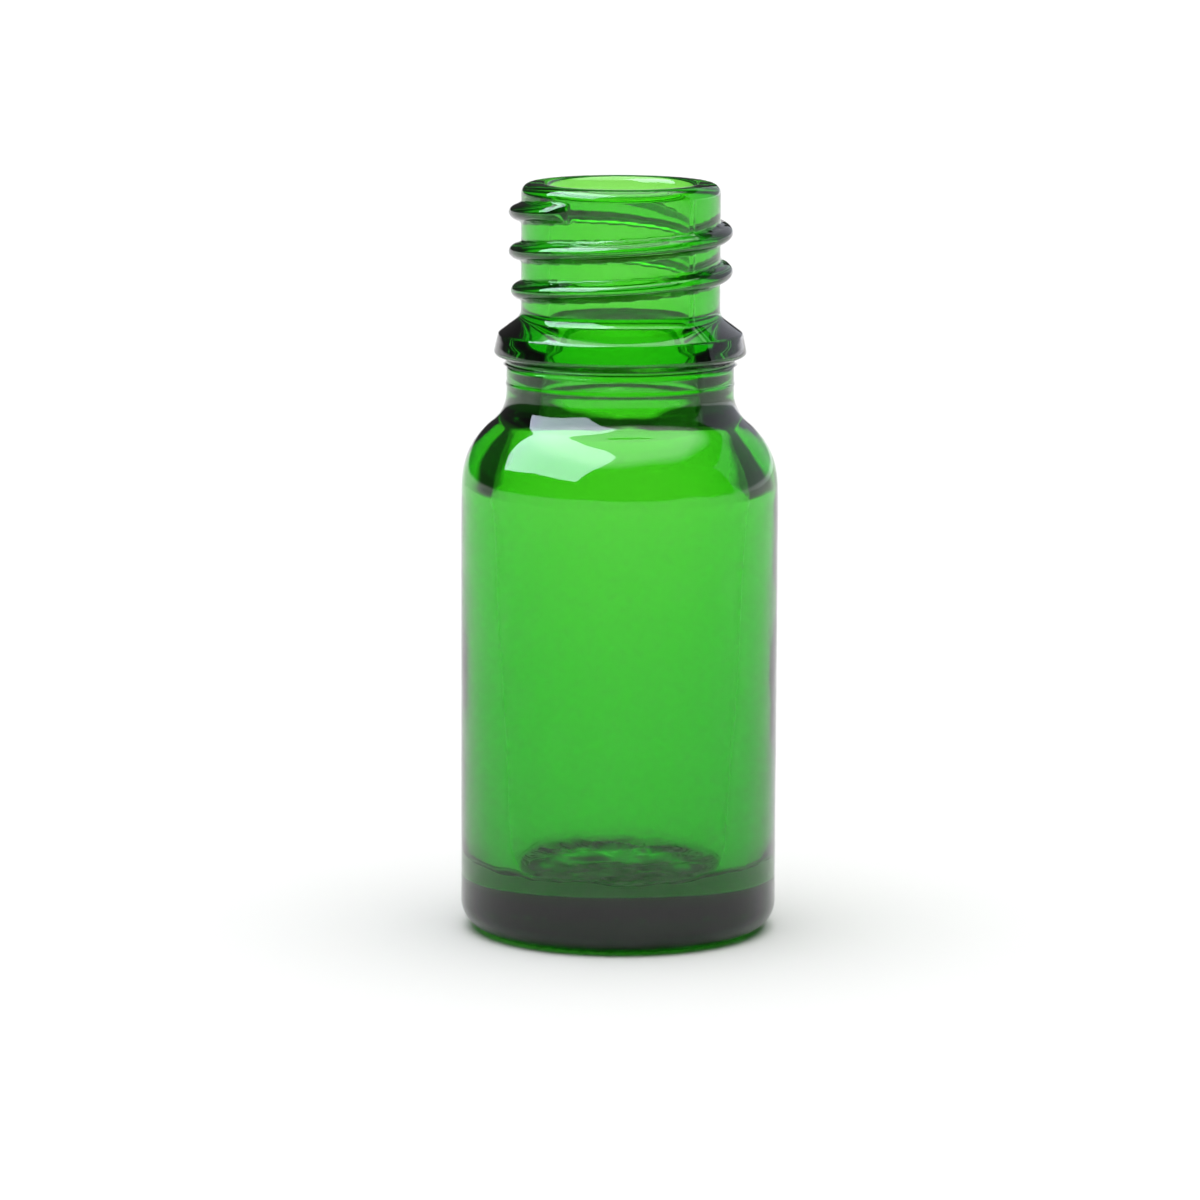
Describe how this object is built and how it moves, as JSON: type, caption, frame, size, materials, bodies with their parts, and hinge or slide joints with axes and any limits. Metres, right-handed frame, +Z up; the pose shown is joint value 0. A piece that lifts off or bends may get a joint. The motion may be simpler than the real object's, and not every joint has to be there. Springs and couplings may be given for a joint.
{
  "type": "glass oil bottle",
  "caption": "Small green glass bottle for essential oil, open at the neck, with a screw thread and a locking bead for a tamper-evident cap.",
  "frame": {"origin": "centre of the base, on the surface that the bottle stands on", "axes": "+Z up along the bottle's axis, out of the neck; -Y is the front, from which the thread's upper end is seen at the left"},
  "size_m": [0.0244, 0.0244, 0.058],
  "materials": {
    "green_glass": "clear, fire polished, tinted in the melt"
  },
  "bodies": {
    "root": {"glass_bottle": "green_glass"}
  },
  "joints": []
}
